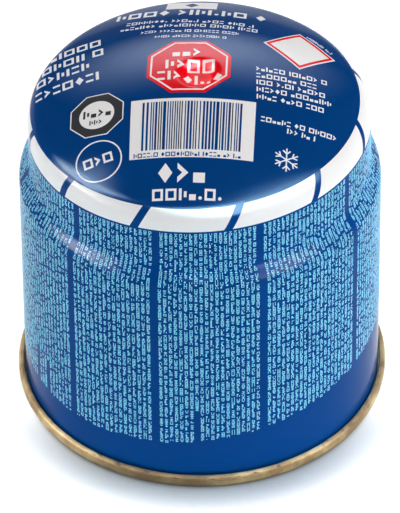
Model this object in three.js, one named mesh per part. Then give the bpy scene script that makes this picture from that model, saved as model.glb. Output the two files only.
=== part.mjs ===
// A pierceable gas cartridge: a deep-drawn steel can, closed from below by a seamed-on end.
// Millimetres, +Z up. The origin is the centre of the ring that the cartridge stands on.
// The can and its contents are one closed solid, because nothing shows what is inside.
import * as THREE from "three";

// The drawn can, all on one axis
const crownHeight = 92.6; // from the resting ring to where the crown's sphere tops out
const bodyRadius = 43.3; // outside of the straight wall
const neckInset = 2.5; // how far the neck is drawn in from the wall
const neckLength = 10.5; // straight neck between the shoulder and the step
const stepHeight = 6.2; // the soft step from the neck out to the wall
const crownRadius = 82; // the spherical top
const shoulderRadius = 6; // the rounding between crown and neck
const spotRadius = 5.8; // a shallow dimple at the crown's centre, where a needle goes in
const spotFloor = 2.6; // radius of the dimple's flat floor
const spotDepth = 1.6;
const canSheet = 0.6; // the can's rim, held in the seam

// The seamed-on end
const endSheet = 0.5; // tinplate of the end
const seamOverhang = 1.7; // how far the seam stands out from the wall
const seamHeight = 3.15; // from the resting ring to the seam's upper lip
const seamFootRounding = 1.0; // both lower edges of the seam
const seamLipRounding = 0.7; // its upper outer edge
const seamCurlRounding = 0.5; // its upper edge beside the wall
const rimSeat = 1.2; // height of the seam's floor, where the can's rim stands
const seamFit = 0.3; // gap between can and end on curved faces
const panelRise = 11; // underside of the end's panel above the resting ring, on the axis
const panelRadius = 150; // the panel is domed inwards to bear the pressure
const countersinkRounding = 1.5; // between the panel and the seam's inner wall

// Steps of the facets
const turns = 64;
const domeSteps = 7;
const roundingSteps = 3;
const shoulderSteps = 7;
const stepSteps = 8;
const spotSteps = 6;

// Sizes that follow from the ones above
const neckRadius = bodyRadius - neckInset;
const rimInside = bodyRadius - canSheet;
const seamInside = rimInside - seamFit - endSheet;
const seamRadius = bodyRadius + seamOverhang;
const lipInside = bodyRadius + seamFit;
const crownCentre = crownHeight - crownRadius;
const shoulderCentreRadius = neckRadius - shoulderRadius;
const shoulderHeight = crownCentre + reach(crownRadius - shoulderRadius, shoulderCentreRadius);
const stepTop = shoulderHeight - neckLength;
const stepBottom = stepTop - stepHeight;
const panelCentre = panelRise - panelRadius;
const countersinkCentreRadius = seamInside - countersinkRounding;
const countersinkHeight =
  panelCentre + reach(panelRadius - countersinkRounding, countersinkCentreRadius);

// The other side of a right triangle: how high a point at radius across stands on a sphere.
function reach(sphere, across) {
  return Math.sqrt(sphere * sphere - across * across);
}

// Points of a circular arc in the profile plane, ends included. Angles are from +X, in radians.
function arc(centreRadius, centreHeight, radius, from, to, steps) {
  return Array.from({ length: steps + 1 }, (unused, i) => {
    const angle = from + ((to - from) * i) / steps;
    return new THREE.Vector2(
      centreRadius + radius * Math.cos(angle),
      centreHeight + radius * Math.sin(angle),
    );
  });
}

// A spherical cap in the profile plane, from the axis out to the given angle, or back to the axis.
function cap(centreHeight, radius, edgeAngle, inwards) {
  const points = arc(0, centreHeight, radius, Math.PI / 2, edgeAngle, domeSteps);
  points[0].x = 0;
  return inwards ? points.reverse() : points;
}

// The end's panel and its turn down into the seam, pushed out by a sheet thickness.
function panelProfile(offset, inwards) {
  const edgeAngle = Math.acos(countersinkCentreRadius / (panelRadius - countersinkRounding));
  const turn = arc(
    countersinkCentreRadius,
    countersinkHeight,
    countersinkRounding + offset,
    edgeAngle,
    0,
    roundingSteps,
  );
  const dome = cap(panelCentre, panelRadius + offset, edgeAngle, inwards);
  return inwards ? [...turn.reverse(), ...dome.slice(1)] : [...dome, ...turn.slice(1)];
}

// Half a cosine wave, from 0 to 1 as the share goes from 0 to 1.
function swell(share) {
  return (1 - Math.cos(Math.PI * share)) / 2;
}

// The soft step from the wall in to the neck.
function stepProfile() {
  return Array.from({ length: stepSteps + 1 }, (unused, i) => {
    const share = i / stepSteps;
    return new THREE.Vector2(bodyRadius - neckInset * swell(share), stepBottom + stepHeight * share);
  });
}

// The crown from its outer edge in to the axis, with the dimple's soft wall and flat floor.
function crownProfile(edgeAngle) {
  const spotAngle = Math.acos(spotRadius / crownRadius);
  const spotHeight = crownCentre + reach(crownRadius, spotRadius);
  const wall = Array.from({ length: spotSteps }, (unused, i) => {
    const share = (i + 1) / spotSteps;
    const across = spotRadius + (spotFloor - spotRadius) * share;
    return new THREE.Vector2(across, spotHeight - spotDepth * swell(share));
  });
  return [
    ...arc(0, crownCentre, crownRadius, edgeAngle, spotAngle, domeSteps),
    ...wall,
    new THREE.Vector2(0, spotHeight - spotDepth),
  ];
}

// The can from the axis below, out under its contents, up the wall and back in over the crown.
function canProfile() {
  const crownEdge = Math.acos(shoulderCentreRadius / (crownRadius - shoulderRadius));
  const shoulder = arc(
    shoulderCentreRadius,
    shoulderHeight,
    shoulderRadius,
    0,
    crownEdge,
    shoulderSteps,
  );
  return [
    ...panelProfile(endSheet + seamFit, false),
    new THREE.Vector2(rimInside, rimSeat),
    new THREE.Vector2(bodyRadius, rimSeat),
    ...stepProfile(),
    ...shoulder,
    ...crownProfile(crownEdge).slice(1),
  ];
}

// The end from the axis, out along its underside, round the seam and back over the panel.
function endProfile() {
  const footInside = seamInside + seamFootRounding;
  const footOutside = seamRadius - seamFootRounding;
  const lipOutside = seamRadius - seamLipRounding;
  const curl = lipInside + seamCurlRounding;
  return [
    ...panelProfile(0, false),
    ...arc(footInside, seamFootRounding, seamFootRounding, Math.PI, 1.5 * Math.PI, roundingSteps),
    ...arc(footOutside, seamFootRounding, seamFootRounding, -Math.PI / 2, 0, roundingSteps),
    ...arc(lipOutside, seamHeight - seamLipRounding, seamLipRounding, 0, Math.PI / 2, roundingSteps),
    ...arc(curl, seamHeight - seamCurlRounding, seamCurlRounding, Math.PI / 2, Math.PI, roundingSteps),
    new THREE.Vector2(lipInside, rimSeat),
    new THREE.Vector2(seamInside + endSheet, rimSeat),
    ...panelProfile(endSheet, true),
  ];
}

// A named solid turned from its profile. A lathe turns about Y, so it is tipped up to +Z.
function turned(name, profile, material) {
  const geometry = new THREE.LatheGeometry(profile, turns);
  geometry.rotateX(Math.PI / 2);
  const mesh = new THREE.Mesh(geometry, material);
  mesh.name = name;
  return mesh;
}

// Glossy blue printing ink on steel
const printedSteel = new THREE.MeshStandardMaterial({
  color: 0x0a4482,
  roughness: 0.3,
  metalness: 0.25,
});

// Tinplate under a gold lacquer, dulled along the seam
const goldLacquer = new THREE.MeshStandardMaterial({
  color: 0xa98c66,
  roughness: 0.38,
  metalness: 0.85,
});

const cartridge = new THREE.Group();
cartridge.add(turned("drawn_can", canProfile(), printedSteel));
cartridge.add(turned("seamed_end", endProfile(), goldLacquer));

export default cartridge;
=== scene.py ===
"""A pierceable gas cartridge on a pale studio floor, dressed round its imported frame.

The can is one sheet of steel: a domed crown with a dimple for the needle, a rounded shoulder, a neck and
a soft step out to the wall. A gold-lacquered end is seamed on below. What is printed on the can is built
as thin closed layers of ink, in plain fields, lines and marks that spell nothing.
Metres, +Z up, with the origin at the centre of the ring that the cartridge stands on.
"""
from __future__ import annotations

import logging
import math
from collections.abc import Iterator
from contextlib import contextmanager
from dataclasses import dataclass, field
from enum import Enum
from random import Random

import bpy
import numpy as np
from mathutils import Matrix, Vector

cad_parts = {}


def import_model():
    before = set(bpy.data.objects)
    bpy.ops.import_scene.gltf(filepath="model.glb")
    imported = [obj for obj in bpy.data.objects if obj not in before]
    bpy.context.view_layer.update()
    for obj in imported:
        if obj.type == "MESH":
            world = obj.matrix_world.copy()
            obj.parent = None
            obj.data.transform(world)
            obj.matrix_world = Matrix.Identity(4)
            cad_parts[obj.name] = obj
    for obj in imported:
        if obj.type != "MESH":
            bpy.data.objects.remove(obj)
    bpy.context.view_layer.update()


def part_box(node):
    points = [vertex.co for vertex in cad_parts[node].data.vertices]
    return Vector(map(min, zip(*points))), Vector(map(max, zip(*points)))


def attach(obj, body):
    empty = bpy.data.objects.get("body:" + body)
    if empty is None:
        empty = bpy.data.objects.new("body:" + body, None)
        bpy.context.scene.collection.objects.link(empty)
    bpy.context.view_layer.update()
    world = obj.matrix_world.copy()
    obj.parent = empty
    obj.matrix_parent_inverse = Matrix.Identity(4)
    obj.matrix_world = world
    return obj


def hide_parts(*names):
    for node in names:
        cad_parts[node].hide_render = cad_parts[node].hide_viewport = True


log = logging.getLogger("cartridge")

MM = 0.001
# Points closer than this become one
WELD = 2e-6
# How far a layer of ink reaches down into the steel
SUNK = 0.02 * MM
# Spacing of points in ink: wide on the plain crown, fine over the dimple
WIDE_CELL = 0.9 * MM
SMALL_CELL = 0.6 * MM
FINE_CELL = 0.3 * MM
BAR_CELL = 1.5 * MM
BODY = "root"


class Slot(Enum):
    """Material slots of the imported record."""

    CAN = "printed_can"
    END = "gold_end"
    WHITE = "white_print"
    PALE = "pale_blue_print"
    RED = "red_print"
    GREY = "grey_print"


class Level(Enum):
    """Layers of ink: how far each one's top stands proud of the steel, in metres."""

    FIRST = 0.04 * MM
    SECOND = 0.07 * MM
    THIRD = 0.10 * MM


class Mark(Enum):
    """Plain shapes that rows of small print are made of. None of them is a letter."""

    BAR = "bar"
    PAIR = "pair"
    STACK = "stack"
    FRAME = "frame"
    LOZENGE = "lozenge"
    CHEVRON = "chevron"
    BLOCK = "block"
    DOT = "dot"


def linear(red: int, green: int, blue: int) -> tuple[float, float, float, float]:
    """Turn a screen colour into the linear values that a shader takes.

    Args:
        red, green, blue: the colour as 0 to 255.

    Returns:
        The linear colour, with an alpha of 1.
    """
    def channel(value: int) -> float:
        """Undo the screen's curve for one channel."""
        share = value / 255
        return share / 12.92 if share <= 0.04045 else ((share + 0.055) / 1.055) ** 2.4

    return (channel(red), channel(green), channel(blue), 1.0)


def swell(share: np.ndarray | float) -> np.ndarray | float:
    """Rise along half a cosine wave, from 0 to 1, as the share goes from 0 to 1."""
    return (1 - np.cos(np.pi * share)) / 2


def reach(sphere: float, across: float) -> float:
    """Return the other side of a right triangle: how high a point at radius across stands."""
    return math.sqrt(sphere * sphere - across * across)


def arc(centre: tuple[float, float], radius: float, turn: tuple[float, float], steps: int) -> list:
    """List the points of a circular arc in the profile plane, ends included.

    Args:
        centre: the arc's centre, as radius from the axis and height.
        radius: the arc's own radius.
        turn: first and last angle from +X, in radians.
        steps: number of chords.

    Returns:
        The points as (radius, height) pairs.
    """
    angles = np.linspace(turn[0], turn[1], steps + 1)
    return [(centre[0] + radius * math.cos(a), centre[1] + radius * math.sin(a)) for a in angles]


def deselect() -> None:
    """Leave nothing selected, so that an operator acts only on what is picked next."""
    if bpy.context.mode != "OBJECT":
        bpy.ops.object.mode_set(mode="OBJECT")
    bpy.ops.object.select_all(action="DESELECT")


@contextmanager
def editing(piece: bpy.types.Object) -> Iterator[None]:
    """Hold one object alone in edit mode, with its whole mesh selected at the start.

    Args:
        piece: the object.

    Returns:
        A context that leaves edit mode at its end.
    """
    pick(piece)
    bpy.ops.object.mode_set(mode="EDIT")
    bpy.ops.mesh.select_all(action="SELECT")
    yield
    bpy.ops.object.mode_set(mode="OBJECT")


def named(name: str) -> bpy.types.Object:
    """Name the object that was just added, and its mesh.

    Args:
        name: the new name of both.

    Returns:
        The object.
    """
    piece = bpy.context.object
    piece.name = name
    piece.data.name = name
    return piece


def pick(piece: bpy.types.Object) -> None:
    """Leave one object alone selected and active.

    Args:
        piece: the object.
    """
    deselect()
    piece.select_set(True)
    bpy.context.view_layer.objects.active = piece


def discard(piece: bpy.types.Object) -> None:
    """Delete a working object and its mesh.

    Args:
        piece: the object.
    """
    mesh = piece.data
    bpy.data.objects.remove(piece)
    bpy.data.meshes.remove(mesh)


def settle(piece: bpy.types.Object, smooth: float = 30) -> None:
    """Put an object's place into its mesh, close its doubles, turn its faces out and smooth it.

    Args:
        piece: the object.
        smooth: the widest angle that is shaded smooth, in degrees.
    """
    pick(piece)
    bpy.ops.object.transform_apply(location=True, rotation=True, scale=True)
    with editing(piece):
        bpy.ops.mesh.remove_doubles(threshold=WELD)
        bpy.ops.mesh.normals_make_consistent(inside=False)
    bpy.ops.object.shade_smooth_by_angle(angle=math.radians(smooth))


def turned(name: str, profile: list[tuple[float, float]], steps: int) -> bpy.types.Object:
    """Draw a profile out of one vertex by extrusion, and spin it about the axis.

    Args:
        name: the new object's name.
        profile: (radius, height) pairs, from the axis back to the axis or to their own start.
        steps: copies of the profile round the axis.

    Returns:
        The closed, turned object.
    """
    deselect()
    first = profile[0]
    bpy.ops.mesh.primitive_plane_add(size=MM, location=(0, 0, 0))
    piece = named(name)
    with editing(piece):
        bpy.ops.mesh.merge(type="CENTER")
        bpy.ops.transform.translate(value=(first[0], 0, first[1]))
        for here, there in zip(profile, profile[1:]):
            move = (there[0] - here[0], 0, there[1] - here[1])
            bpy.ops.mesh.extrude_region_move(TRANSFORM_OT_translate={"value": move})
        bpy.ops.mesh.select_all(action="SELECT")
        bpy.ops.mesh.spin(steps=steps, angle=math.tau, center=(0, 0, 0), axis=(0, 0, 1))
    settle(piece)
    return piece


@dataclass(frozen=True)
class Ink:
    """A gloss ink or lacquer over steel: a colour with faint mottling and an uneven gloss."""

    name: str
    colour: tuple[float, float, float, float]
    shade: tuple[float, float, float, float]
    mottle_scale: float = 60.0
    rub_scale: float = 360.0
    gloss: float = 0.10
    gloss_spread: float = 0.05
    specular: float = 0.03
    peel_scale: float = 900.0
    peel_strength: float = 0.02
    peel_height: float = 0.01 * MM

    def material(self) -> bpy.types.Material:
        """Build the node material of this ink.

        Returns:
            The material, which is made once and shared.
        """
        made = bpy.data.materials.get(self.name)
        if made:
            return made
        made = bpy.data.materials.new(self.name)
        made.use_nodes = True
        tree = made.node_tree
        shader = tree.nodes["Principled BSDF"]
        shader.inputs["Specular IOR Level"].default_value = self.specular
        place = tree.nodes.new("ShaderNodeTexCoord").outputs["Object"]
        mottle = noise(tree, place, self.mottle_scale, 3)
        tree.links.new(blend(tree, mottle, self.colour, self.shade), shader.inputs["Base Color"])
        rub = noise(tree, place, self.rub_scale, 4)
        low, high = self.gloss - self.gloss_spread / 2, self.gloss + self.gloss_spread / 2
        tree.links.new(spread(tree, rub, low, high), shader.inputs["Roughness"])
        peel = noise(tree, place, self.peel_scale, 2)
        bent = bump(tree, peel, self.peel_strength, self.peel_height)
        tree.links.new(bent, shader.inputs["Normal"])
        return made


@dataclass(frozen=True)
class GoldLacquer:
    """Tinplate under a gold lacquer that is rubbed, pitted and scuffed along the seam, with painted
    shade over the seam's front left.
    """

    name: str = "gold_lacquer"
    colour: tuple[float, float, float, float] = linear(186, 160, 115)
    dulled: tuple[float, float, float, float] = linear(132, 106, 72)
    scuffed: tuple[float, float, float, float] = linear(62, 47, 34)
    # Painted shade: a darker gold that stands in for the shade over the seam's front left
    shaded: tuple[float, float, float, float] = linear(76, 60, 39)
    metallic: float = 0.6
    roughness: tuple[float, float] = (0.44, 0.60)
    cloud_scale: float = 150.0
    cloud_range: tuple[float, float] = (0.38, 0.62)
    speck_scale: float = 520.0
    speck_range: tuple[float, float] = (0.56, 0.66)
    speck_stretch: tuple[float, float, float] = (1, 1, 4)
    scuff_rise: tuple[float, float] = (1.5 * MM, 3.0 * MM)
    scuff_span: tuple[float, float] = (-42 * MM, -20 * MM)
    scuff_behind: float = 0.35
    # Where the painted shade lies: on the seam's front, from the left to a little right of the middle
    painted_shade_depth: tuple[float, float] = (-42 * MM, -30 * MM)
    painted_shade_across: tuple[float, float] = (-2 * MM, 20 * MM)
    painted_shade_share: float = 0.75
    pit_scale: float = 1400.0
    pit_strength: float = 0.35
    pit_height: float = 0.03 * MM

    def material(self) -> bpy.types.Material:
        """Build the node material of the lacquered end.

        Returns:
            The material: a clouded gold with painted shade at the front left, and dark scuffs along its
                lip.
        """
        made = bpy.data.materials.new(self.name)
        made.use_nodes = True
        tree = made.node_tree
        shader = tree.nodes["Principled BSDF"]
        shader.inputs["Metallic"].default_value = self.metallic
        place = tree.nodes.new("ShaderNodeTexCoord").outputs["Object"]
        cloud = noise(tree, place, self.cloud_scale, 5)
        base = blend(tree, spread(tree, cloud, 0.0, 1.0, *self.cloud_range), self.colour, self.dulled)
        split = tree.nodes.new("ShaderNodeSeparateXYZ")
        tree.links.new(place, split.inputs[0])
        across, depth, rise = (split.outputs[axis] for axis in "XYZ")
        stretch = tree.nodes.new("ShaderNodeMapping")
        stretch.inputs["Scale"].default_value = self.speck_stretch
        tree.links.new(place, stretch.inputs["Vector"])
        speck = noise(tree, stretch.outputs["Vector"], self.speck_scale, 4)
        speck = spread(tree, speck, 0.0, 1.0, *self.speck_range)
        high = spread(tree, rise, 0.0, 1.0, *self.scuff_rise)
        front = spread(tree, depth, 1.0, self.scuff_behind, *self.scuff_span)
        scuffs = times(tree, times(tree, speck, high), front)
        # Painted shade: darken the gold over the front left of the seam
        near = spread(tree, depth, 1.0, 0.0, *self.painted_shade_depth)
        left = spread(tree, across, self.painted_shade_share, 0.0, *self.painted_shade_across)
        shaded_gold = blend(tree, times(tree, near, left), base, self.shaded)
        tree.links.new(blend(tree, scuffs, shaded_gold, self.scuffed), shader.inputs["Base Color"])
        tree.links.new(spread(tree, cloud, *self.roughness), shader.inputs["Roughness"])
        pits = noise(tree, place, self.pit_scale, 3)
        tree.links.new(bump(tree, pits, self.pit_strength, self.pit_height), shader.inputs["Normal"])
        return made


def noise(
    tree: bpy.types.NodeTree, vector: bpy.types.NodeSocket, scale: float, detail: float
) -> bpy.types.NodeSocket:
    """Add a noise texture.

    Args:
        tree: the material's nodes.
        vector: where the texture is read.
        scale: how fine it is, per metre.
        detail: how many finer layers it has.

    Returns:
        Its factor socket.
    """
    node = tree.nodes.new("ShaderNodeTexNoise")
    node.inputs["Scale"].default_value = scale
    node.inputs["Detail"].default_value = detail
    tree.links.new(vector, node.inputs["Vector"])
    return node.outputs["Fac"]


def spread(
    tree: bpy.types.NodeTree, value: bpy.types.NodeSocket, low: float, high: float,
    start: float = 0.3, end: float = 0.7,
) -> bpy.types.NodeSocket:
    """Add a clamped map of a value from one range onto another.

    Args:
        tree: the material's nodes.
        value: the value to map.
        low, high: what start and end become.
        start, end: the range that is read.

    Returns:
        The mapped value's socket.
    """
    node = tree.nodes.new("ShaderNodeMapRange")
    node.inputs["From Min"].default_value = start
    node.inputs["From Max"].default_value = end
    node.inputs["To Min"].default_value = low
    node.inputs["To Max"].default_value = high
    tree.links.new(value, node.inputs["Value"])
    return node.outputs["Result"]


def math_node(
    tree: bpy.types.NodeTree, operation: str,
    one: bpy.types.NodeSocket, other: bpy.types.NodeSocket | float,
) -> bpy.types.NodeSocket:
    """Add one arithmetic step.

    Args:
        tree: the material's nodes.
        operation: the step's name in Blender.
        one: the first value.
        other: the second value, a socket or a fixed number.

    Returns:
        The result's socket.
    """
    node = tree.nodes.new("ShaderNodeMath")
    node.operation = operation
    tree.links.new(one, node.inputs[0])
    if isinstance(other, bpy.types.NodeSocket):
        tree.links.new(other, node.inputs[1])
    else:
        node.inputs[1].default_value = other
    return node.outputs[0]


def times(
    tree: bpy.types.NodeTree, one: bpy.types.NodeSocket, other: bpy.types.NodeSocket | float
) -> bpy.types.NodeSocket:
    """Add a product of two values, and return its socket."""
    return math_node(tree, "MULTIPLY", one, other)


def blend(
    tree: bpy.types.NodeTree, factor: bpy.types.NodeSocket,
    one: bpy.types.NodeSocket | tuple[float, ...], other: bpy.types.NodeSocket | tuple[float, ...],
) -> bpy.types.NodeSocket:
    """Add a mix of two colours.

    Args:
        tree: the material's nodes.
        factor: the share of the second colour.
        one, other: the colours, each a socket or a fixed colour.

    Returns:
        The mixed colour's socket.
    """
    node = tree.nodes.new("ShaderNodeMix")
    node.data_type = "RGBA"
    tree.links.new(factor, node.inputs["Factor"])
    for colour, key in ((one, "A"), (other, "B")):
        if isinstance(colour, bpy.types.NodeSocket):
            tree.links.new(colour, node.inputs[key])
        else:
            node.inputs[key].default_value = colour
    return node.outputs["Result"]


def bump(
    tree: bpy.types.NodeTree, height: bpy.types.NodeSocket, strength: float, distance: float
) -> bpy.types.NodeSocket:
    """Add a bump.

    Args:
        tree: the material's nodes.
        height: the height value.
        strength: how much of the bump is used.
        distance: its height in metres.

    Returns:
        The bent normal's socket.
    """
    node = tree.nodes.new("ShaderNodeBump")
    node.inputs["Strength"].default_value = strength
    node.inputs["Distance"].default_value = distance
    tree.links.new(height, node.inputs["Height"])
    return node.outputs["Normal"]


INKS: dict[Slot, Ink] = {
    Slot.CAN: Ink("blue_print", linear(0, 58, 118), linear(0, 53, 111)),
    Slot.WHITE: Ink("white_print", linear(229, 227, 227), linear(223, 222, 223)),
    Slot.PALE: Ink("pale_print", linear(150, 221, 230), linear(132, 209, 224)),
    Slot.RED: Ink("red_print", linear(220, 3, 22), linear(205, 2, 18)),
    Slot.GREY: Ink("grey_print", linear(58, 60, 64), linear(48, 50, 54)),
}


def finish_piece(piece: bpy.types.Object, material: bpy.types.Material) -> None:
    """Give a piece its material, and let it ride on the part.

    Args:
        piece: the finished piece.
        material: its material.
    """
    piece.data.materials.clear()
    piece.data.materials.append(material)
    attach(piece, BODY)
    log.info("%s: %d faces", piece.name, len(piece.data.polygons))


@dataclass
class Can:
    """The drawn can: its sizes, its profile and the steel shell."""

    wall_radius: float
    top: float
    neck_inset: float = 2.5 * MM
    neck_length: float = 10.5 * MM
    step_height: float = 6.2 * MM
    crown_radius: float = 82 * MM
    shoulder_radius: float = 6 * MM
    spot_radius: float = 5.8 * MM
    spot_floor: float = 2.6 * MM
    spot_depth: float = 1.6 * MM
    sheet: float = 0.6 * MM
    turns: int = 360
    crown_facets: int = 28
    spot_facets: int = 12
    shoulder_facets: int = 16
    step_facets: int = 20
    crown_points: int = 140
    bend_points: int = 40
    neck_points: int = 12
    step_points: int = 60
    wall_points: int = 30
    neck_radius: float = field(init=False)
    inner: float = field(init=False)
    crown_centre: float = field(init=False)
    shoulder_height: float = field(init=False)
    step_top: float = field(init=False)
    step_bottom: float = field(init=False)
    trail: np.ndarray = field(init=False)
    normals: np.ndarray = field(init=False)

    def __post_init__(self) -> None:
        """Work out the profile, its arc length from the apex and its normals."""
        self.neck_radius = self.wall_radius - self.neck_inset
        self.inner = self.neck_radius - self.shoulder_radius
        self.crown_centre = self.top - reach(self.crown_radius, self.spot_radius)
        bend_reach = reach(self.crown_radius - self.shoulder_radius, self.inner)
        self.shoulder_height = self.crown_centre + bend_reach
        self.step_top = self.shoulder_height - self.neck_length
        self.step_bottom = self.step_top - self.step_height
        self.trail = self.walk()
        slope = np.gradient(self.trail[:, 1:], self.trail[:, 0], axis=0)
        slope /= np.linalg.norm(slope, axis=1)[:, None]
        self.normals = np.stack([-slope[:, 1], slope[:, 0]], axis=1)

    def crown_edge(self) -> float:
        """Return the angle from the axis at which the shoulder takes over from the crown."""
        return math.asin(self.inner / (self.crown_radius - self.shoulder_radius))

    def walk(self) -> np.ndarray:
        """Follow the outside of the can from the apex down to its foot.

        Returns:
            Rows of arc length, radius and height. The length is measured over the crown's sphere, so a
            print laid on it isn't stretched by the dimple.
        """
        edge = self.crown_edge()
        angles = np.linspace(0, edge, self.crown_points)
        radius = self.crown_radius * np.sin(angles)
        depth = np.clip((self.spot_radius - radius) / (self.spot_radius - self.spot_floor), 0, 1)
        height = self.crown_centre + self.crown_radius * np.cos(angles)
        height = np.where(radius < self.spot_radius, self.top - self.spot_depth * swell(depth), height)
        length = self.crown_radius * angles
        bend = np.linspace(edge, math.pi / 2, self.bend_points)[1:]
        below = np.linspace(0, 1, self.step_points)[1:]
        rest_radius = np.concatenate([
            self.inner + self.shoulder_radius * np.sin(bend),
            np.full(self.neck_points, self.neck_radius),
            self.neck_radius + self.neck_inset * swell(below),
            np.full(self.wall_points, self.wall_radius),
        ])
        rest_height = np.concatenate([
            self.shoulder_height + self.shoulder_radius * np.cos(bend),
            np.linspace(self.shoulder_height, self.step_top, self.neck_points + 1)[1:],
            self.step_top - self.step_height * below,
            np.linspace(self.step_bottom, 0, self.wall_points + 1)[1:],
        ])
        radius = np.concatenate([radius, rest_radius])
        height = np.concatenate([height, rest_height])
        hops = np.hypot(np.diff(radius[len(angles) - 1:]), np.diff(height[len(angles) - 1:]))
        length = np.concatenate([length, length[-1] + np.cumsum(hops)])
        return np.stack([length, radius, height], axis=1)

    def put(self, azimuth: np.ndarray, along: np.ndarray, lift: np.ndarray) -> np.ndarray:
        """Place points on the can.

        Args:
            azimuth: angles about the axis, in radians.
            along: arc lengths from the apex.
            lift: heights above the steel, along its normal.

        Returns:
            The points, one row each.
        """
        length, radii, heights = self.trail.T
        out, up = (np.interp(along, length, axis) for axis in self.normals.T)
        radius = np.interp(along, length, radii) + lift * out
        height = np.interp(along, length, heights) + lift * up
        return np.stack([radius * np.cos(azimuth), radius * np.sin(azimuth), height], axis=1)

    def length_at(self, height: np.ndarray | float) -> np.ndarray | float:
        """Return the arc length at which the wall is at a height."""
        return np.interp(-height, -self.trail[:, 2], self.trail[:, 0])

    def shell(self, end: "SeamedEnd") -> bpy.types.Object:
        """Turn the can, with its contents closed in over the end's panel.

        Args:
            end: the end that the can's rim stands in.

        Returns:
            The finished shell.
        """
        edge = math.pi / 2 - self.crown_edge()
        rim = [(self.wall_radius - self.sheet, end.rim_seat), (self.wall_radius, end.rim_seat)]
        step = [
            (
                self.wall_radius - self.neck_inset * swell(share),
                self.step_bottom + self.step_height * share,
            )
            for share in np.linspace(0, 1, self.step_facets + 1)
        ]
        bend = (self.inner, self.shoulder_height)
        shoulder = arc(bend, self.shoulder_radius, (0, edge), self.shoulder_facets)
        spot_edge = math.acos(self.spot_radius / self.crown_radius)
        centre = (0, self.crown_centre)
        crown = arc(centre, self.crown_radius, (edge, spot_edge), self.crown_facets)[1:]
        fall = self.spot_radius - self.spot_floor
        spot = [
            (self.spot_radius - fall * share, self.top - self.spot_depth * swell(share))
            for share in np.linspace(0, 1, self.spot_facets + 1)[1:]
        ]
        floor = [(self.spot_floor / 2, spot[-1][1]), (0, spot[-1][1])]
        below = end.panel(end.sheet + end.fit)
        profile = below + rim + step + shoulder + crown + spot + floor
        return turned("can_shell", profile, self.turns)


@dataclass
class SeamedEnd:
    """The seamed-on end: a domed-in panel, its turn down and the double seam round the can's foot."""

    wall_radius: float
    radius: float
    seam_height: float = 3.15 * MM
    can_sheet: float = 0.6 * MM
    sheet: float = 0.5 * MM
    fit: float = 0.3 * MM
    rim_seat: float = 1.2 * MM
    foot_rounding: float = 1.0 * MM
    lip_rounding: float = 0.7 * MM
    curl_rounding: float = 0.5 * MM
    panel_rise: float = 11 * MM
    panel_radius: float = 150 * MM
    turn_rounding: float = 1.5 * MM
    turns: int = 360
    dome_facets: int = 18
    turn_facets: int = 6
    seam_facets: int = 8
    curl_facets: int = 6
    dent_size: float = 6 * MM
    dent_strength: float = 0.09 * MM
    inside: float = field(init=False)

    def __post_init__(self) -> None:
        """Work out the seam's inner wall."""
        self.inside = self.wall_radius - self.can_sheet - self.fit - self.sheet

    def panel(self, offset: float) -> list[tuple[float, float]]:
        """List the panel's profile from the axis out to the seam's inner wall.

        Args:
            offset: how far above the panel's underside the profile runs.

        Returns:
            The points as (radius, height) pairs.
        """
        centre = self.panel_rise - self.panel_radius
        across = self.inside - self.turn_rounding
        rise = centre + reach(self.panel_radius - self.turn_rounding, across)
        edge = math.acos(across / (self.panel_radius - self.turn_rounding))
        dome = arc((0, centre), self.panel_radius + offset, (math.pi / 2, edge), self.dome_facets)
        dome[0] = (0, dome[0][1])
        turn = arc((across, rise), self.turn_rounding + offset, (edge, 0), self.turn_facets)
        return dome + turn[1:]

    def build(self) -> bpy.types.Object:
        """Turn the end and dent its seam a little, as rolling leaves it.

        Returns:
            The finished end.
        """
        foot_in = (self.inside + self.foot_rounding, self.foot_rounding)
        foot_out = (self.radius - self.foot_rounding, self.foot_rounding)
        lip = (self.radius - self.lip_rounding, self.seam_height - self.lip_rounding)
        lip_inside = self.wall_radius + self.fit
        curl = (lip_inside + self.curl_rounding, self.seam_height - self.curl_rounding)
        half = math.pi / 2
        profile = (
            self.panel(0)
            + arc(foot_in, self.foot_rounding, (math.pi, 3 * half), self.seam_facets)
            + arc(foot_out, self.foot_rounding, (-half, 0), self.seam_facets)
            + arc(lip, self.lip_rounding, (0, half), self.seam_facets)
            + arc(curl, self.curl_rounding, (half, math.pi), self.curl_facets)
            + [(lip_inside, self.rim_seat), (self.inside + self.sheet, self.rim_seat)]
            + self.panel(self.sheet)[::-1]
        )
        piece = turned("seamed_end_shell", profile, self.turns)
        dents = bpy.data.textures.new("seam_dents", "CLOUDS")
        dents.noise_scale = self.dent_size
        pick(piece)
        modifier = piece.modifiers.new("dents", "DISPLACE")
        modifier.texture = dents
        modifier.texture_coords = "LOCAL"
        modifier.strength = self.dent_strength
        modifier.mid_level = 0.5
        bpy.ops.object.modifier_apply(modifier=modifier.name)
        bpy.data.textures.remove(dents)
        return piece


@dataclass(frozen=True)
class Stamp:
    """One mark's mesh in a cell one unit high, from z 0 to z 1."""

    points: np.ndarray
    faces: list[tuple[int, ...]]
    width: float


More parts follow.
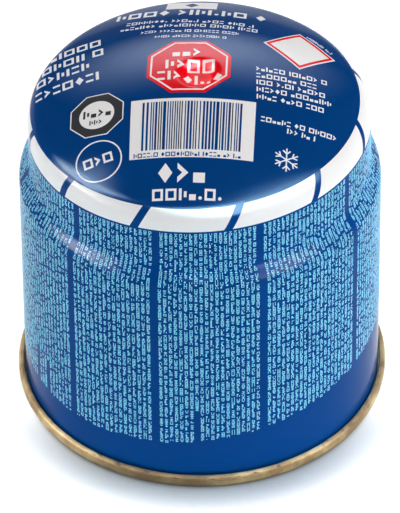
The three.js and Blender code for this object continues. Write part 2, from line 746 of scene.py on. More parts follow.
class Stamps:
    """The plain marks, each modelled once."""

    widths: dict[Mark, float] = {
        Mark.BAR: 0.24,
        Mark.PAIR: 0.62,
        Mark.STACK: 0.60,
        Mark.FRAME: 0.88,
        Mark.LOZENGE: 0.66,
        Mark.CHEVRON: 0.56,
        Mark.BLOCK: 0.54,
        Mark.DOT: 0.30,
    }
    stroke = 0.22
    hollow_stroke = 0.198
    dot_place = (0, -0.3, 0)

    def __init__(self) -> None:
        """Model every mark and keep its points and faces."""
        self.marks = {kind: self.model(kind) for kind in Mark}

    def model(self, kind: Mark) -> Stamp:
        """Model one mark as a flat shape, and extrude it.

        Args:
            kind: which mark.

        Returns:
            The mark's stamp. Its object is deleted again.
        """
        width = self.widths[kind]
        if kind in (Mark.LOZENGE, Mark.CHEVRON):
            bpy.ops.mesh.primitive_circle_add(vertices=4, radius=0.5, fill_type="NGON")
        elif kind is Mark.DOT:
            bpy.ops.mesh.primitive_circle_add(
                vertices=8, radius=width / 2, fill_type="NGON", location=self.dot_place
            )
        else:
            bpy.ops.mesh.primitive_plane_add(size=1)
        piece = named(f"mark_{kind.value}")
        with editing(piece):
            self.shape(kind, width, piece)
            bpy.ops.mesh.select_all(action="SELECT")
            bpy.ops.mesh.extrude_region_move(TRANSFORM_OT_translate={"value": (0, 0, 1)})
            bpy.ops.mesh.select_all(action="SELECT")
            bpy.ops.mesh.normals_make_consistent(inside=False)
        points = np.array([piece.matrix_world @ v.co for v in piece.data.vertices])
        faces = [tuple(face.vertices) for face in piece.data.polygons]
        discard(piece)
        return Stamp(points, faces, width)

    def shape(self, kind: Mark, width: float, piece: bpy.types.Object) -> None:
        """Shape the flat start of one mark in edit mode.

        Args:
            kind: which mark.
            width: its width in the cell.
            piece: the object being edited; not used.
        """
        resize = bpy.ops.transform.resize
        if kind is Mark.BAR:
            resize(value=(width, 1, 1))
        elif kind is Mark.PAIR:
            resize(value=(self.stroke, 1, 1))
            bpy.ops.transform.translate(value=(-(width - self.stroke) / 2, 0, 0))
            bpy.ops.mesh.duplicate_move(TRANSFORM_OT_translate={"value": (width - self.stroke, 0, 0)})
            resize(value=(1, 0.5, 1))
        elif kind is Mark.STACK:
            resize(value=(width, self.stroke, 1))
            bpy.ops.transform.translate(value=(0, -(1 - self.stroke) / 2, 0))
            bpy.ops.mesh.duplicate_move(TRANSFORM_OT_translate={"value": (0, 1 - self.stroke, 0)})
        elif kind is Mark.FRAME:
            resize(value=(width, 1, 1))
            bpy.ops.mesh.inset(thickness=self.hollow_stroke)
            bpy.ops.mesh.delete(type="FACE")
        elif kind is Mark.LOZENGE:
            resize(value=(width, 1, 1))
        elif kind is Mark.CHEVRON:
            bpy.ops.mesh.inset(thickness=self.hollow_stroke)
            bpy.ops.mesh.delete(type="FACE")
            bpy.ops.mesh.select_all(action="SELECT")
            bpy.ops.mesh.bisect(plane_co=(0, 0, 0), plane_no=(1, 0, 0), clear_inner=True)
            bpy.ops.mesh.select_all(action="SELECT")
            bpy.ops.transform.translate(value=(-0.25, 0, 0))
        elif kind is Mark.BLOCK:
            resize(value=(width, 0.5, 1))
            bpy.ops.transform.translate(value=(0, -0.25, 0))


@dataclass
class MarkField:
    """A growing field of marks, in the flat coordinates of a print, that becomes one mesh."""

    stamps: Stamps
    seed: int
    level: Level
    letter_gap: float = 0.2
    word_gap: float = 0.45
    weights: tuple[int, ...] = (3, 4, 3, 5, 2, 3, 3, 1)
    first_word: tuple[int, int] = (3, 8)
    next_words: tuple[int, int] = (2, 9)
    spots: dict[Mark, list[tuple[float, float, float, float]]] = field(default_factory=dict)
    random: Random = field(init=False)

    def __post_init__(self) -> None:
        """Seed this field's own row of draws."""
        self.random = Random(self.seed)

    def row(
        self, start: tuple[float, float], end: tuple[float, float], height: float, words: bool
    ) -> None:
        """Fill a straight row with marks.

        Args:
            start, end: the ends of the row's middle line.
            height: height of the marks.
            words: whether the marks stand in groups with wider gaps between them.
        """
        heading = math.atan2(end[1] - start[1], end[0] - start[0])
        length = math.dist(start, end)
        kinds = list(Mark)
        run = self.random.randint(*self.first_word)
        at = 0.0
        while True:
            kind = self.random.choices(kinds, self.weights)[0]
            width = self.stamps.widths[kind] * height
            if at + width > length:
                return
            middle = at + width / 2
            place = (start[0] + middle * math.cos(heading), start[1] + middle * math.sin(heading))
            self.spots.setdefault(kind, []).append((*place, heading, height))
            at += width + self.letter_gap * height
            run -= 1
            if words and run == 0:
                at += self.word_gap * height
                run = self.random.randint(*self.next_words)

    def mesh(self, name: str, cuts: int = 0) -> bpy.types.Object:
        """Stamp the field's marks into one flat mesh.

        Args:
            name: the new object's name.
            cuts: cuts across each face, for marks so large that they must bend with the steel.

        Returns:
            The flat object. Its height runs from just under the steel to the level's top.
        """
        points, faces, count = [], [], 0
        for kind, spots in self.spots.items():
            stamp = self.stamps.marks[kind]
            size = len(stamp.points)
            for x, y, heading, height in spots:
                across, up = math.cos(heading), math.sin(heading)
                turn = np.array([[across, up], [-up, across]])
                flat = (stamp.points[:, :2] * height) @ turn + (x, y)
                lift = -SUNK + (SUNK + self.level.value) * stamp.points[:, 2]
                points.append(np.column_stack([flat, lift]))
                faces.extend(tuple(count + i for i in face) for face in stamp.faces)
                count += size
        mesh = bpy.data.meshes.new(name)
        mesh.from_pydata(np.concatenate(points).tolist(), [], faces)
        piece = bpy.data.objects.new(name, mesh)
        bpy.context.scene.collection.objects.link(piece)
        if cuts:
            with editing(piece):
                bpy.ops.mesh.subdivide(number_cuts=cuts)
        return piece


@dataclass(frozen=True)
class Wrap:
    """How a flat print lies on the can: its centre is a little off the axis."""

    can: Can
    shift_x: float = -1.63 * MM
    shift_y: float = 1.34 * MM

    def over_crown(self, piece: bpy.types.Object) -> None:
        """Lay a flat piece over the crown, keeping its distances from the apex.

        Args:
            piece: the piece, in the print's flat coordinates.
        """
        flat = self.read(piece)
        x, y = flat[:, 0] + self.shift_x, flat[:, 1] + self.shift_y
        self.write(piece, self.can.put(np.arctan2(y, x), np.hypot(x, y), flat[:, 2]))

    def over_wall(self, piece: bpy.types.Object) -> None:
        """Lay a flat piece round the wall.

        Args:
            piece: the piece. Its x counts round the wall, and its y is the arc length, negative.
        """
        flat = self.read(piece)
        azimuth = flat[:, 0] / self.can.wall_radius
        self.write(piece, self.can.put(azimuth, -flat[:, 1], flat[:, 2]))

    def drift(self, azimuth: np.ndarray | float) -> np.ndarray | float:
        """Return how much further from the apex a printed ring lies at an azimuth."""
        return self.shift_x * np.cos(azimuth) + self.shift_y * np.sin(azimuth)

    @staticmethod
    def read(piece: bpy.types.Object) -> np.ndarray:
        """Read a mesh's points.

        Args:
            piece: the object.

        Returns:
            The points, one row each.
        """
        values = np.empty(len(piece.data.vertices) * 3)
        piece.data.vertices.foreach_get("co", values)
        return values.reshape(-1, 3)

    @staticmethod
    def write(piece: bpy.types.Object, points: np.ndarray) -> None:
        """Give a mesh its new points."""
        piece.data.vertices.foreach_set("co", points.ravel())
        piece.data.update()


def thicken(piece: bpy.types.Object, level: Level) -> None:
    """Turn a flat sheet of ink into a closed layer, sunk a little into the steel below it.

    Args:
        piece: the flat sheet.
        level: the layer that it lies in.
    """
    with editing(piece):
        bpy.ops.transform.translate(value=(0, 0, -SUNK))
        depth = {"value": (0, 0, SUNK + level.value)}
        bpy.ops.mesh.extrude_region_move(TRANSFORM_OT_translate=depth)


def polygon(
    centre: tuple[float, float], radii: tuple[float, float], sides: int, tilt: float
) -> list[Vector]:
    """List the corners of a polygon, counterclockwise.

    Args:
        centre: its centre.
        radii: reach of the corners along its own x and y.
        sides: number of corners.
        tilt: turn of the whole polygon, in degrees.

    Returns:
        The corners. A four-sided one stands on its point, any other on a flat.
    """
    start = 0 if sides == 4 else math.pi / sides
    turn = Matrix.Rotation(math.radians(tilt), 2)
    corners = []
    for i in range(sides):
        angle = start + math.tau * i / sides
        corner = turn @ Vector((radii[0] * math.cos(angle), radii[1] * math.sin(angle)))
        corners.append(corner + Vector(centre))
    return corners


def octagon(centre: tuple[float, float], flat: float, tilt: float) -> list[Vector]:
    """List the corners of a regular octagon, counterclockwise.

    Args:
        centre: its centre.
        flat: the distance from its centre to a side.
        tilt: its turn, in degrees.

    Returns:
        The eight corners.
    """
    corner = flat / math.cos(math.pi / 8)
    return polygon(centre, (corner, corner), 8, tilt)


def rectangle(centre: tuple[float, float], size: tuple[float, float], tilt: float) -> list[Vector]:
    """List the corners of a turned rectangle, counterclockwise.

    Args:
        centre: its centre.
        size: its full width and height.
        tilt: its turn, in degrees.

    Returns:
        The four corners.
    """
    turn = Matrix.Rotation(math.radians(tilt), 2)
    signs = ((-1, -1), (1, -1), (1, 1), (-1, 1))
    return [Vector(centre) + turn @ Vector((sx * size[0] / 2, sy * size[1] / 2)) for sx, sy in signs]


def sheet(name: str, corners: list[Vector], cell: float, level: Level) -> bpy.types.Object:
    """Cut a convex field of ink out of a fine grid.

    Args:
        name: the new object's name.
        corners: the field's corners, counterclockwise.
        cell: the grid's spacing, fine enough to bend with the steel.
        level: the layer that it lies in.

    Returns:
        The flat, closed field.
    """
    deselect()
    centre = sum(corners, Vector((0, 0))) / len(corners)
    half = max(max(abs(c.x - centre.x), abs(c.y - centre.y)) for c in corners) + cell
    count = math.ceil(2 * half / cell)
    bpy.ops.mesh.primitive_grid_add(
        x_subdivisions=count, y_subdivisions=count, size=2 * half, location=(centre.x, centre.y, 0)
    )
    piece = named(name)
    bpy.ops.object.transform_apply(location=True)
    with editing(piece):
        for here, there in zip(corners, corners[1:] + corners[:1]):
            along = (there - here).normalized()
            bpy.ops.mesh.select_all(action="SELECT")
            bpy.ops.mesh.bisect(
                plane_co=(here.x, here.y, 0),
                plane_no=(along.y, -along.x, 0),
                clear_outer=True,
                threshold=WELD,
            )
    thicken(piece, level)
    return piece


def outline(name: str, corners: list[Vector], width: float, cuts: int, level: Level) -> bpy.types.Object:
    """Make a line of ink that follows the inside of a polygon.

    Args:
        name: the new object's name.
        corners: the polygon's corners, counterclockwise.
        width: the line's width.
        cuts: cuts along each side, to bend with the steel.
        level: the layer that it lies in.

    Returns:
        The flat, closed line.
    """
    deselect()
    bpy.ops.mesh.primitive_circle_add(vertices=len(corners), radius=1, fill_type="NGON")
    piece = named(name)
    for vertex, corner in zip(piece.data.vertices, corners):
        vertex.co = (corner.x, corner.y, 0)
    with editing(piece):
        bpy.ops.mesh.normals_make_consistent(inside=False)
        bpy.ops.mesh.inset(thickness=width)
        bpy.ops.mesh.delete(type="FACE")
        bpy.ops.mesh.select_all(action="SELECT")
        bpy.ops.mesh.subdivide(number_cuts=cuts)
    thicken(piece, level)
    return piece


def bar(name: str, start: Vector, end: Vector, width: float, level: Level) -> bpy.types.Object:
    """Make one straight bar of ink between two points.

    Args:
        name: the new object's name.
        start, end: the ends of its middle line.
        width: its width.
        level: the layer that it lies in.

    Returns:
        The flat, closed bar.
    """
    deselect()
    along = end - start
    middle = (start + end) / 2
    bpy.ops.mesh.primitive_plane_add(size=1)
    piece = named(name)
    turn = Matrix.Rotation(math.atan2(along.y, along.x), 4, "Z")
    stretch = Matrix.Diagonal((along.length, width, 1, 1))
    piece.data.transform(Matrix.Translation((middle.x, middle.y, 0)) @ turn @ stretch)
    with editing(piece):
        bpy.ops.mesh.subdivide(number_cuts=max(1, round(along.length / BAR_CELL)))
    thicken(piece, level)
    return piece


def joined(name: str, pieces: list[bpy.types.Object]) -> bpy.types.Object:
    """Join flat pieces of one ink into one object.

    Args:
        name: the new object's name.
        pieces: the pieces. They become one.

    Returns:
        The joined object.
    """
    deselect()
    for piece in pieces:
        piece.select_set(True)
    bpy.context.view_layer.objects.active = pieces[0]
    bpy.ops.object.join()
    return named(name)


@dataclass(frozen=True)
class Row:
    """A row of marks on the crown, in millimetres from the print's centre."""

    start: tuple[float, float]
    end: tuple[float, float]
    height: float
    words: bool = True

    def draw(self, marks: MarkField) -> None:
        """Add this row's marks to a field.

        Args:
            marks: the field.
        """
        start = (self.start[0] * MM, self.start[1] * MM)
        end = (self.end[0] * MM, self.end[1] * MM)
        marks.row(start, end, self.height * MM, self.words)


@dataclass
class CrownPrint:
    """What is printed on the crown: fields, lines and rows of marks."""

    wrap: Wrap
    stamps: Stamps
    tilt: float = -2.5
    octagon_centre: tuple[float, float] = (-0.75 * MM, 1.55 * MM)
    octagon_flat: float = 9.95 * MM
    octagon_margin: float = 0.8 * MM
    octagon_line: float = 0.42 * MM
    panel_middle: tuple[float, float] = (-0.1 * MM, -19.05 * MM)
    panel_size: tuple[float, float] = (29.6 * MM, 17.5 * MM)
    stripe_span: tuple[float, float] = (-12.0 * MM, 11.3 * MM)
    stripe_rise: float = 14.3 * MM
    stripe_margin: float = 1.0 * MM
    stripe_widths: tuple[float, ...] = (0.28 * MM, 0.28 * MM, 0.5 * MM, 0.72 * MM)
    stripe_gaps: tuple[float, ...] = (0.26 * MM, 0.3 * MM, 0.5 * MM)
    thin_stripe: float = 0.4 * MM
    stripe_seed: int = 5
    grey_share: float = 0.5
    badge_centre: tuple[float, float] = (-23.0 * MM, -11.8 * MM)
    badge_flat: float = 6.6 * MM
    badge_line: float = 0.25 * MM
    disc_radius: float = 4.35 * MM
    diamond_centre: tuple[float, float] = (26.2 * MM, 12.4 * MM)
    diamond_reach: tuple[float, float] = (9.0 * MM, 8.7 * MM)
    diamond_margin: float = 0.55 * MM
    diamond_line: float = 0.75 * MM
    crest_centre: tuple[float, float] = (0.1 * MM, 33.8 * MM)
    crest_size: tuple[float, float] = (12.6 * MM, 5.6 * MM)
    crest_tilt: float = -5.0
    crest_motif: float = 1.7 * MM
    ring_centre: tuple[float, float] = (-22.8 * MM, -25.7 * MM)
    ring_radius: float = 5.8 * MM
    ring_line: float = 0.34 * MM
    star_centre: tuple[float, float] = (22.4 * MM, -26.8 * MM)
    star_radius: float = 3.2 * MM
    star_line: float = 0.32 * MM
    star_arms: int = 6
    star_turn: float = 0.5
    fork_place: float = 0.52
    fork_reach: float = 0.40

    def lay(self, piece: bpy.types.Object, slot: Slot) -> None:
        """Bend a flat piece over the crown, close it and give it its ink.

        Args:
            piece: the flat piece.
            slot: the ink's slot.
        """
        self.wrap.over_crown(piece)
        settle(piece)
        finish_piece(piece, INKS[slot].material())

    def red_octagon(self) -> None:
        """Print the red octagon over the dimple, with its white line and three rows of marks."""
        corners = octagon(self.octagon_centre, self.octagon_flat, self.tilt)
        self.lay(sheet("octagon_field", corners, FINE_CELL, Level.FIRST), Slot.RED)
        inner = octagon(self.octagon_centre, self.octagon_flat - self.octagon_margin, self.tilt)
        line = outline("octagon_line", inner, self.octagon_line, cuts=18, level=Level.SECOND)
        self.lay(line, Slot.WHITE)
        marks = MarkField(self.stamps, seed=11, level=Level.SECOND)
        for row in (
            Row((-4.6, 6.7), (4.0, 6.4), 3.3, False),
            Row((-6.3, 2.2), (5.4, 1.8), 3.3, False),
            Row((-8.3, -2.0), (7.4, -2.5), 3.1, False),
        ):
            row.draw(marks)
        self.lay(marks.mesh("octagon_marks", cuts=7), Slot.WHITE)

    def stripe_panel(self) -> None:
        """Print the pale panel with its plain stripes, whose widths are drawn at random."""
        turn = Matrix.Rotation(math.radians(self.tilt), 2)
        middle = Vector(self.panel_middle)
        corners = rectangle(self.panel_middle, self.panel_size, self.tilt)
        self.lay(sheet("stripe_panel", corners, WIDE_CELL, Level.FIRST), Slot.WHITE)
        random = Random(self.stripe_seed)
        at, end = self.stripe_span
        top = self.panel_size[1] / 2 - self.stripe_margin
        dark, grey = [], []
        while at < end:
            width = random.choice(self.stripe_widths)
            start = middle + turn @ Vector((at + width / 2, top))
            stop = middle + turn @ Vector((at + width / 2, top - self.stripe_rise))
            pale = width < self.thin_stripe and random.random() < self.grey_share
            stripes = grey if pale else dark
            stripes.append(bar(f"stripe_{len(dark)}_{len(grey)}", start, stop, width, Level.SECOND))
            at += width + random.choice(self.stripe_gaps)
        self.lay(joined("stripes_blue", dark), Slot.CAN)
        self.lay(joined("stripes_grey", grey), Slot.GREY)
        marks = MarkField(self.stamps, seed=12, level=Level.SECOND)
        Row((-14.2, -26.3), (11.4, -27.4), 1.2).draw(marks)
        self.lay(marks.mesh("stripe_marks"), Slot.CAN)

    def badge(self) -> None:
        """Print the dark badge with its pale disc and dark marks."""
        corners = octagon(self.badge_centre, self.badge_flat, self.tilt)
        self.lay(sheet("badge_field", corners, WIDE_CELL, Level.FIRST), Slot.GREY)
        line = outline("badge_line", corners, self.badge_line, cuts=6, level=Level.SECOND)
        self.lay(line, Slot.WHITE)
        disc = polygon(self.badge_centre, (self.disc_radius, self.disc_radius), sides=40, tilt=0)
        self.lay(sheet("badge_disc", disc, WIDE_CELL, Level.SECOND), Slot.WHITE)
        marks = MarkField(self.stamps, seed=13, level=Level.THIRD)
        Row((-26.3, -11.1), (-19.4, -11.6), 2.4, False).draw(marks)
        Row((-24.8, -14.0), (-21.0, -14.3), 1.4, False).draw(marks)
        self.lay(marks.mesh("badge_marks", cuts=1), Slot.GREY)

    def diamond(self) -> None:
        """Print the plain white diamond with its thin red line."""
        corners = polygon(self.diamond_centre, self.diamond_reach, 4, self.tilt)
        self.lay(sheet("diamond_field", corners, WIDE_CELL, Level.FIRST), Slot.WHITE)
        inset = tuple(value - self.diamond_margin for value in self.diamond_reach)
        inner = polygon(self.diamond_centre, inset, 4, self.tilt)
        line = outline("diamond_line", inner, self.diamond_line, cuts=10, level=Level.SECOND)
        self.lay(line, Slot.RED)

    def crest(self) -> None:
        """Print the plain white crest at the crown's far edge, with a blue lozenge on it."""
        corners = rectangle(self.crest_centre, self.crest_size, self.crest_tilt)
        self.lay(sheet("crest_field", corners, WIDE_CELL, Level.FIRST), Slot.WHITE)
        motif = polygon(self.crest_centre, (self.crest_motif, self.crest_motif), 4, self.crest_tilt)
        self.lay(sheet("crest_motif", motif, SMALL_CELL, Level.SECOND), Slot.CAN)

    def ring(self) -> None:
        """Print the thin ring and the row inside it."""
        corners = polygon(self.ring_centre, (self.ring_radius, self.ring_radius), sides=72, tilt=0)
        line = outline("ring_line", corners, self.ring_line, cuts=1, level=Level.FIRST)
        self.lay(line, Slot.WHITE)
        marks = MarkField(self.stamps, seed=14, level=Level.FIRST)
        Row((-26.6, -26.2), (-18.1, -24.8), 2.7, False).draw(marks)
        self.lay(marks.mesh("ring_marks", cuts=2), Slot.WHITE)

    def star(self) -> None:
        """Print the plain six-armed star with a small fork on each arm."""
        centre = Vector(self.star_centre)
        lines = []
        for arm in range(self.star_arms):
            angle = arm * math.tau / self.star_arms + self.star_turn
            away = Vector((math.cos(angle), math.sin(angle))) * self.star_radius
            lines.append(bar(f"arm_{arm}", centre, centre + away, self.star_line, Level.FIRST))
            fork = centre + away * self.fork_place
            for side in (-1, 1):
                tip = fork + Matrix.Rotation(side * math.pi / 4, 2) @ away * self.fork_reach
                lines.append(bar(f"fork_{arm}_{side}", fork, tip, self.star_line, Level.FIRST))
        self.lay(joined("star_mark", lines), Slot.WHITE)

    def rows(self) -> None:
        """Print the free rows of marks round the crown."""
        large = {
            "weight_marks": [Row((-8.4, -31.6), (5.6, -32.2), 5.2, False)],
            "lower_marks": [Row((-10.0, -37.2), (7.9, -37.9), 3.0, False)],
            "name_marks": [Row((-18.6, 29.8), (18.2, 26.4), 3.6)],
            "left_marks": [
                Row((-35.4, 16.4), (-20.9, 17.2), 3.1),
                Row((-37.6, 11.4), (-20.9, 12.2), 3.1),
                Row((-39.0, 6.6), (-24.4, 7.4), 3.1),
                Row((-39.0, 1.3), (-21.4, 2.2), 3.1),
            ],
        }
        small = {
            "small_marks": [
                Row((-16.0, 24.1), (15.2, 20.5), 1.6),
                Row((-17.4, 21.4), (16.3, 18.1), 1.6),
                Row((-12.3, 17.8), (11.6, 15.6), 1.2),
                Row((-8.9, 14.7), (8.5, 13.2), 1.0),
            ],
            "notice_marks": [
                Row((15.2, 1.2), (33.6, 0.9), 1.6),
                Row((15.2, -1.3), (31.3, -1.7), 1.6),
                Row((15.2, -3.8), (32.3, -4.1), 1.6),
                Row((15.2, -6.3), (34.6, -6.6), 1.6),
                Row((15.2, -8.8), (31.9, -9.4), 1.6),
                Row((16.2, -15.8), (35.9, -17.4), 1.5),
                Row((22.5, -18.4), (30.2, -19.2), 1.5),
            ],
            "edge_marks": [Row((28.4, 20.6), (35.1, 14.4), 0.8)],
        }
        for number, (name, rows) in enumerate((large | small).items()):
            marks = MarkField(self.stamps, seed=20 + number, level=Level.FIRST)
            for row in rows:
                row.draw(marks)
            self.lay(marks.mesh(name, cuts=3 if name in large else 0), Slot.WHITE)

    def build(self) -> None:
        """Print everything that the crown carries."""
        self.red_octagon()
        self.stripe_panel()
        self.badge()
        self.diamond()
        self.crest()
        self.ring()
        self.star()
        self.rows()


@dataclass
class ShoulderBand:
    """The white band round the shoulder, in twelve pieces with slanted gaps."""

    wrap: Wrap
    upper: float = 41.3 * MM
    lower: float = 47.05 * MM
    gap: float = 2.1 * MM
    gaps: tuple[float, ...] = (
        -139.7, -108.7, -76.0, -43.3, -12.2, 17.4, 46.4, 75.4, 104.4, 133.4, 162.4, 191.3, 220.3,
    )
    columns: int = 30
    rows: int = 10
    twist: float = -4.4
    lean: float = -2.0

    def slant(self, azimuth: float) -> float:
        """Return how far the gap at an azimuth turns towards the band's lower edge, in radians."""
        return math.radians(self.twist + self.lean * math.cos(math.radians(azimuth)))

    def build(self) -> None:
        """Model one flat piece, and lay a copy of it in each place."""
        bpy.ops.mesh.primitive_grid_add(x_subdivisions=self.columns, y_subdivisions=self.rows, size=1)
        pattern = named("band_pattern")
        thicken(pattern, Level.FIRST)
        flat = Wrap.read(pattern)
        for number, (first, last) in enumerate(zip(self.gaps, self.gaps[1:])):
            piece = pattern.copy()
            piece.data = pattern.data.copy()
            piece.name = piece.data.name = f"band_piece_{number + 1:02d}"
            bpy.context.scene.collection.objects.link(piece)
            down = 0.5 - flat[:, 1]
            along = self.upper + (self.lower - self.upper) * down
            radius = np.interp(along, self.wrap.can.trail[:, 0], self.wrap.can.trail[:, 1])
            left = math.radians(first) + self.slant(first) * down
            right = math.radians(last) + self.slant(last) * down
            azimuth = (left + right) / 2 + flat[:, 0] * (right - left - self.gap / radius)
            along = along + self.wrap.drift(azimuth)
            self.wrap.write(piece, self.wrap.can.put(azimuth, along, flat[:, 2]))
            settle(piece)
            finish_piece(piece, INKS[Slot.WHITE].material())
        discard(pattern)


@dataclass
class WallPrint:
    """The small print round the neck, step and wall: ten panels of narrow columns."""

    wrap: Wrap
    stamps: Stamps
    gaps: tuple[float, ...] = (-174, -135.5, -105, -70.2, -32.2, 4, 40, 76, 112, 149, 186)
    gap: float = 2.1 * MM
    pitch: float = 1.25 * MM
    letter: float = 0.74 * MM
    letter_gap: float = 0.16
    word_gap: float = 0.8
    top: float = 47.7 * MM
    foot: float = 17.8 * MM
    foot_drift: tuple[float, float] = (4.97 * MM, 4.3 * MM)
    short_share: float = 0.05
    short_by: tuple[float, float] = (2 * MM, 12 * MM)

    def build(self) -> None:
        """Fill each panel with columns of marks that run down the wall."""
        around = self.wrap.can.wall_radius
        for number, (left, right) in enumerate(zip(self.gaps, self.gaps[1:])):
            marks = MarkField(
                self.stamps, 100 + number, Level.FIRST, self.letter_gap, self.word_gap
            )
            start = math.radians(left) * around + self.gap / 2 + self.letter / 2
            span = math.radians(right - left) * around - self.gap - self.letter
            columns = round(span / self.pitch) + 1
            for column in range(columns):
                x = start + span * column / (columns - 1)
                azimuth = x / around
                drift = self.foot_drift[0] * math.cos(azimuth) + self.foot_drift[1] * math.sin(azimuth)
                bottom = self.wrap.can.length_at(self.foot + drift)
                if marks.random.random() < self.short_share:
                    bottom -= marks.random.uniform(*self.short_by)
                marks.row((x, -self.top - self.wrap.drift(azimuth)), (x, -bottom), self.letter, True)
            piece = marks.mesh(f"wall_print_{number + 1:02d}")
            self.wrap.over_wall(piece)
            settle(piece)
            finish_piece(piece, INKS[Slot.PALE].material())


@dataclass(frozen=True)
class Lamp:
    """One soft lamp, named by where it stands as seen from the can."""

    name: str
    azimuth: float
    elevation: float
    size: tuple[float, float]
    power: float
    colour: tuple[float, float, float] = (1.0, 1.0, 1.0)
    distance: float = 1.6

    def place(self, aim: Vector) -> bpy.types.Object:
        """Hang the lamp, out of sight of mirrors, turned to the can.

        Args:
            aim: the point that it faces.

        Returns:
            The lamp.
        """
        light = bpy.data.lights.new(self.name, "AREA")
        light.shape = "RECTANGLE"
        light.size, light.size_y = self.size
        light.energy = self.power
        light.color = self.colour
        lamp = bpy.data.objects.new(self.name, light)
        bpy.context.scene.collection.objects.link(lamp)
        away = outward(self.azimuth, self.elevation)
        lamp.location = aim + away * self.distance
        lamp.rotation_euler = away.to_track_quat("Z", "Y").to_euler()
        lamp.visible_glossy = False
        return lamp


@dataclass(frozen=True)
class SeamLamp(Lamp):
    """A lamp that shows in the seam's gloss only, in front of the cards."""

    distance: float = 1.3

    def place_for(self, aim: Vector, seam: bpy.types.Object) -> None:
        """Hang the lamp, and keep it to the seam.

        Args:
            aim: the point that it faces.
            seam: the lacquered end.
        """
        lamp = self.place(aim)
        lamp.visible_glossy = True
        lamp.data.diffuse_factor = 0.0
        lamp.light_linking.receiver_collection = linked("seam_only", seam, "INCLUDE")


def linked(name: str, piece: bpy.types.Object, state: str) -> bpy.types.Collection:
    """Give the collection that tells a light which piece to reach or to leave out.

    Args:
        name: the collection's name. It is made once.
        piece: the piece it holds.
        state: INCLUDE to reach only this piece, or EXCLUDE to leave it out.

    Returns:
        The collection.
    """
    receivers = bpy.data.collections.get(name)
    if not receivers:
        receivers = bpy.data.collections.new(name)
        receivers.objects.link(piece)
        receivers.collection_objects[0].light_linking.link_state = state
    return receivers


@dataclass(frozen=True)
class Card:
    """A glowing card with soft edges that shows in gloss only, as a softbox does."""

    name: str
    azimuth: float
    elevation: float
    size: tuple[float, float]
    glow: float
    colour: tuple[float, float, float, float] = (1.0, 1.0, 1.0, 1.0)
    edge: float = 0.35
    distance: float = 1.5

    def place(self, aim: Vector, seam: bpy.types.Object) -> None:
        """Hang the card where no camera, shadow or diffuse light meets it.

        Args:
            aim: the point that it faces.
            seam: the lacquered end, which is too dull to show it.
        """
        away = outward(self.azimuth, self.elevation)
        deselect()
        bpy.ops.mesh.primitive_plane_add(size=1)
        card = named(self.name)
        card.scale = (*self.size, 1)
        card.location = aim + away * self.distance
        card.rotation_euler = away.to_track_quat("Z", "Y").to_euler()
        card.data.materials.append(self.material())
        card.visible_camera = False
        card.visible_diffuse = False
        card.visible_shadow = False
        card.light_linking.receiver_collection = linked("all_but_seam", seam, "EXCLUDE")

    def material(self) -> bpy.types.Material:
        """Build a glow that fades towards the card's edges.

        Returns:
            The material.
        """
        made = bpy.data.materials.new(self.name)
        made.use_nodes = True
        tree = made.node_tree
        tree.nodes.clear()
        out = tree.nodes.new("ShaderNodeOutputMaterial")
        glow = tree.nodes.new("ShaderNodeEmission")
        glow.inputs["Color"].default_value = self.colour
        place = tree.nodes.new("ShaderNodeTexCoord")
        split = tree.nodes.new("ShaderNodeSeparateXYZ")
        tree.links.new(place.outputs["Object"], split.inputs[0])
        half = 0.5
        fades = []
        for axis in "XY":
            away = math_node(tree, "ABSOLUTE", split.outputs[axis], 0.0)
            fade = tree.nodes.new("ShaderNodeMapRange")
            fade.interpolation_type = "SMOOTHSTEP"
            fade.inputs["From Min"].default_value = half
            fade.inputs["From Max"].default_value = half - self.edge
            tree.links.new(away, fade.inputs["Value"])
            fades.append(fade.outputs["Result"])
        strength = times(tree, times(tree, *fades), self.glow)
        tree.links.new(strength, glow.inputs["Strength"])
        tree.links.new(glow.outputs[0], out.inputs["Surface"])
        return made


def outward(azimuth: float, elevation: float) -> Vector:
    """Return the direction to a place round the can: azimuth 0 is the viewer's side, + to the right."""
    around, up = math.radians(azimuth), math.radians(elevation)
    return Vector((math.sin(around) * math.cos(up), -math.cos(around) * math.cos(up), math.sin(up)))


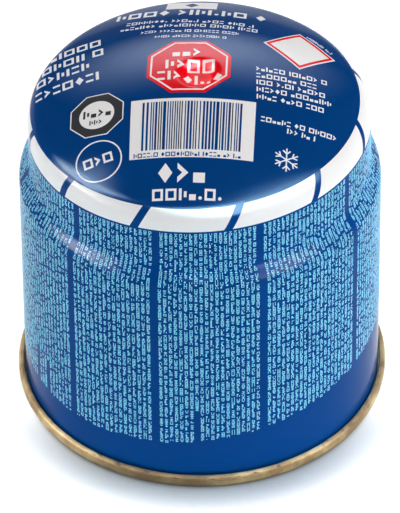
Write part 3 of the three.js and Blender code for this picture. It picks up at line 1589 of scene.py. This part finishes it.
@dataclass
class Studio:
    """The floor, lamps, cards, world and camera."""

    floor_size: float = 14.0
    paper_dark: tuple[float, float, float, float] = linear(196, 196, 196)
    paper_pale: tuple[float, float, float, float] = linear(200, 200, 200)
    paper_roughness: float = 0.9
    paper_specular: float = 0.1
    paper_scale: float = 9.0
    floor_white: float = 0.68
    floor_glow: float = 1.45
    # Painted contact shadow on the floor: ambient occlusion within this reach darkens the floor's glow,
    # deeply at the front and faintly at the sides
    contact_reach: float = 12 * MM
    front_depth: float = 4.6
    side_depth: float = 0.2
    front_span: tuple[float, float] = (-44 * MM, -18 * MM)
    world_level: float = 0.32
    lens: float = 421.05
    sensor: float = 36.0
    sight: float = 60.0
    camera_place: tuple[float, float, float] = (-0.22 * MM, -1091.55 * MM, 996.0 * MM)
    camera_dip: float = 41.375
    camera_roll: float = -0.588

    def floor(self) -> None:
        """Lay the pale paper floor, with a painted contact shadow round the can's foot that is deepest
        in front of it.
        """
        deselect()
        bpy.ops.mesh.primitive_plane_add(size=self.floor_size)
        floor = named("floor")
        paper = bpy.data.materials.new("floor_paper")
        paper.use_nodes = True
        tree = paper.node_tree
        shader = tree.nodes["Principled BSDF"]
        shader.inputs["Roughness"].default_value = self.paper_roughness
        shader.inputs["Specular IOR Level"].default_value = self.paper_specular
        place = tree.nodes.new("ShaderNodeTexCoord").outputs["Object"]
        cloud = noise(tree, place, self.paper_scale, 3)
        white_paper = blend(tree, cloud, self.paper_dark, self.paper_pale)
        tree.links.new(white_paper, shader.inputs["Base Color"])
        seen = tree.nodes.new("ShaderNodeLightPath")
        sight = seen.outputs["Is Camera Ray"]
        for ray in ("Is Glossy Ray", "Is Transmission Ray"):
            sight = math_node(tree, "MAXIMUM", sight, seen.outputs[ray])
        share = times(tree, sight, self.floor_white)
        # Painted shadow: the floor's glow darkens near the can, most of all in front of it
        contact = tree.nodes.new("ShaderNodeAmbientOcclusion")
        contact.inputs["Distance"].default_value = self.contact_reach
        split = tree.nodes.new("ShaderNodeSeparateXYZ")
        tree.links.new(place, split.inputs[0])
        depth = spread(tree, split.outputs["Y"], self.front_depth, self.side_depth, *self.front_span)
        dark = math_node(tree, "POWER", contact.outputs["AO"], depth)
        white = tree.nodes.new("ShaderNodeEmission")
        tree.links.new(times(tree, dark, self.floor_glow), white.inputs["Strength"])
        mix = tree.nodes.new("ShaderNodeMixShader")
        tree.links.new(share, mix.inputs["Fac"])
        tree.links.new(shader.outputs[0], mix.inputs[1])
        tree.links.new(white.outputs[0], mix.inputs[2])
        tree.links.new(mix.outputs[0], tree.nodes["Material Output"].inputs["Surface"])
        floor.data.materials.append(paper)

    def world(self) -> None:
        """Fill the room with a faint even light."""
        world = bpy.data.worlds.new("room")
        bpy.context.scene.world = world
        world.use_nodes = True
        sky = world.node_tree.nodes["Background"]
        sky.inputs["Color"].default_value = (1.0, 1.0, 1.0, 1.0)
        sky.inputs["Strength"].default_value = self.world_level

    def lights(self, aim: Vector, seam: bpy.types.Object) -> None:
        """Hang the lamps and the cards that show in the gloss.

        Args:
            aim: the point that they face.
            seam: the lacquered end, which has lamps of its own.
        """
        for lamp in (
            Lamp("right_lamp", 78, 20, (1.1, 1.1), 20.5, (1.0, 0.985, 0.965)),
            Lamp("left_lamp", -80, 26, (1.1, 1.0), 11.2, (1.0, 0.975, 0.965)),
            Lamp("back_lamp", 180, 50, (1.2, 0.9), 6.0, (1.0, 0.985, 0.975)),
            Lamp("front_lamp", 14, 35, (1.0, 0.8), 3.0, (1.0, 0.97, 0.95)),
        ):
            lamp.place(aim)
        for lamp in (
            SeamLamp("seam_left_lamp", -75, 40, (1.6, 1.2), 30.0),
            SeamLamp("seam_right_lamp", 40, 40, (1.3, 1.1), 27.0),
        ):
            lamp.place_for(aim, seam)
        for card in (
            Card("left_card", -89, 40, (1.15, 1.5), 140.0, (0.74, 0.95, 1.0, 1.0), 0.34),
            Card("right_card", 35, 53, (3.07, 1.7), 235.0, (0.50, 0.86, 1.0, 1.0), 0.25),
            Card("back_card", 180, 31, (1.92, 1.05), 23.0, (0.80, 0.90, 1.0, 1.0), 0.5),
            Card("low_right_card", 50, 13, (1.7, 0.7), 48.0, (1.0, 0.95, 0.92, 1.0), 0.45),
            Card("low_left_card", -75, 13, (1.9, 0.8), 95.0, (1.0, 0.95, 0.94, 1.0), 0.45),
        ):
            card.place(aim, seam)

    def camera(self) -> None:
        """Set the camera at the photograph's viewing angle."""
        camera = bpy.data.objects.new("camera", bpy.data.cameras.new("camera"))
        camera.data.lens = self.lens
        camera.data.sensor_width = self.sensor
        camera.data.sensor_fit = "AUTO"
        camera.data.clip_end = self.sight
        bpy.context.scene.collection.objects.link(camera)
        tilt = Matrix.Rotation(math.radians(90 - self.camera_dip), 4, "X")
        roll = Matrix.Rotation(math.radians(self.camera_roll), 4, "Z")
        camera.matrix_world = Matrix.Translation(self.camera_place) @ tilt @ roll
        bpy.context.scene.camera = camera

    def build(self, aim: Vector, seam: bpy.types.Object) -> None:
        """Set up the whole studio.

        Args:
            aim: the point that the lamps and cards face.
            seam: the lacquered end.
        """
        bpy.context.scene.view_settings.view_transform = "Standard"
        self.camera()
        self.floor()
        self.world()
        self.lights(aim, seam)


def main() -> None:
    """Build the studio, the can, its end and its print."""
    logging.basicConfig(level=logging.INFO, format="%(message)s")
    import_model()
    deselect()
    can_high = Vector(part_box("drawn_can")[1])
    end_high = Vector(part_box("seamed_end")[1])
    can = Can(wall_radius=can_high.x, top=can_high.z)
    end = SeamedEnd(wall_radius=can_high.x, radius=end_high.x)
    shell = can.shell(end)
    finish_piece(shell, INKS[Slot.CAN].material())
    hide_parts("drawn_can")
    seam = end.build()
    finish_piece(seam, GoldLacquer().material())
    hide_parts("seamed_end")
    Studio().build(Vector((0, 0, can_high.z / 2)), seam)
    wrap = Wrap(can)
    stamps = Stamps()
    ShoulderBand(wrap).build()
    CrownPrint(wrap, stamps).build()
    WallPrint(wrap, stamps).build()


if __name__ == "__main__":
    main()
